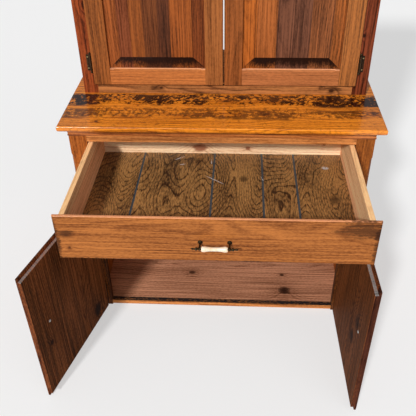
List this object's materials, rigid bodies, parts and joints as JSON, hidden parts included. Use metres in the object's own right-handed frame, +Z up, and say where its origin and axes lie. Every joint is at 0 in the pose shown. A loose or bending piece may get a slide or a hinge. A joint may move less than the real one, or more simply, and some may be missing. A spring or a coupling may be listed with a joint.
{
  "type": "court cupboard",
  "caption": "Tall two-part wooden cupboard: a shallow panelled upper case stands on a deeper base with a moulded countertop, a wide drawer and lipped doors below.",
  "frame": {"origin": "on the floor, under the middle of the whole as it stands with the drawer pulled out and the lower doors open", "axes": "+Z up, -Y towards the front, +X to the right of someone facing the front"},
  "size_m": [1.0398, 0.9556, 1.83],
  "materials": {
    "pine": "amber-stained knotty pine, satin lacquer",
    "pale_pine": "pale pine, thinly lacquered",
    "plain_pine": "unfinished pine",
    "grooved_panelling": "grooved panelling with a printed wood face",
    "antique_brass": "darkened antique brass",
    "glazed_ceramic": "cream glazed ceramic"
  },
  "bodies": {
    "case": {"lower_side_left": "pine", "lower_side_right": "pine", "lower_stile_left": "pine", "lower_stile_right": "pine", "lower_top_rail": "pine", "lower_middle_rail": "pine", "lower_bottom_rail": "pine", "lower_floor": "pine", "lower_back_boards": "plain_pine", "countertop": "pine", "countertop_cove_front": "pine", "countertop_cove_returns": "pine", "lower_hinge_leaves": "antique_brass", "upper_side_left": "pine", "upper_side_right": "pine", "upper_stile_left": "pine", "upper_stile_right": "pine", "upper_bottom_rail": "pine", "upper_top_rail": "pine", "upper_floor": "pine", "upper_shelf_low": "pine", "upper_shelf_high": "pine", "upper_shelf_battens": "plain_pine", "upper_back_rail": "pine", "upper_top": "pine", "cornice_front": "pine", "cornice_returns": "pine", "upper_hinge_leaves": "antique_brass", "drawer_runners": "plain_pine", "drawer_guides": "plain_pine"},
    "drawer": {"drawer_front": "pine", "drawer_side_left": "pale_pine", "drawer_side_right": "pale_pine", "drawer_back": "pale_pine", "drawer_bottom": "grooved_panelling", "drawer_pull_posts": "antique_brass", "drawer_pull_rod": "antique_brass", "drawer_pull_grip": "glazed_ceramic"},
    "lower_left_door": {"lower_door_left_board": "pine", "lower_door_left_knob": "glazed_ceramic", "lower_door_left_knob_rose": "antique_brass", "lower_door_left_hinge_leaves": "antique_brass"},
    "lower_right_door": {"lower_door_right_board": "pine", "lower_door_right_knob": "glazed_ceramic", "lower_door_right_knob_rose": "antique_brass", "lower_door_right_hinge_leaves": "antique_brass"},
    "upper_left_door": {"upper_door_left_stiles": "pine", "upper_door_left_rails": "pine", "upper_door_left_panel": "pine", "upper_door_left_knob": "glazed_ceramic", "upper_door_left_knob_rose": "antique_brass", "upper_door_left_hinge_leaves": "antique_brass"},
    "upper_right_door": {"upper_door_right_stiles": "pine", "upper_door_right_rails": "pine", "upper_door_right_panel": "pine", "upper_door_right_knob": "glazed_ceramic", "upper_door_right_knob_rose": "antique_brass", "upper_door_right_hinge_leaves": "antique_brass"}
  },
  "joints": [
    {"name": "drawer_slide", "type": "slide", "parent": "case", "child": "drawer", "axis": [0, -1, 0], "range_m": [-0.364, 0.04]},
    {"name": "lower_left_door_hinge", "type": "hinge", "parent": "case", "child": "lower_left_door", "pos_m": [-0.40186, -0.05674, 0.26175], "axis": [0, 0, -1], "range_deg": [-105.4, 14.6]},
    {"name": "lower_right_door_hinge", "type": "hinge", "parent": "case", "child": "lower_right_door", "pos_m": [0.44174, -0.05674, 0.26175], "axis": [0, 0, 1], "range_deg": [-91.1, 28.9]},
    {"name": "upper_left_door_hinge", "type": "hinge", "parent": "case", "child": "upper_left_door", "pos_m": [-0.39186, 0.14626, 1.265], "axis": [0, 0, -1], "range_deg": [0, 120]},
    {"name": "upper_right_door_hinge", "type": "hinge", "parent": "case", "child": "upper_right_door", "pos_m": [0.44174, 0.14626, 1.265], "axis": [0, 0, 1], "range_deg": [0, 120]}
  ]
}
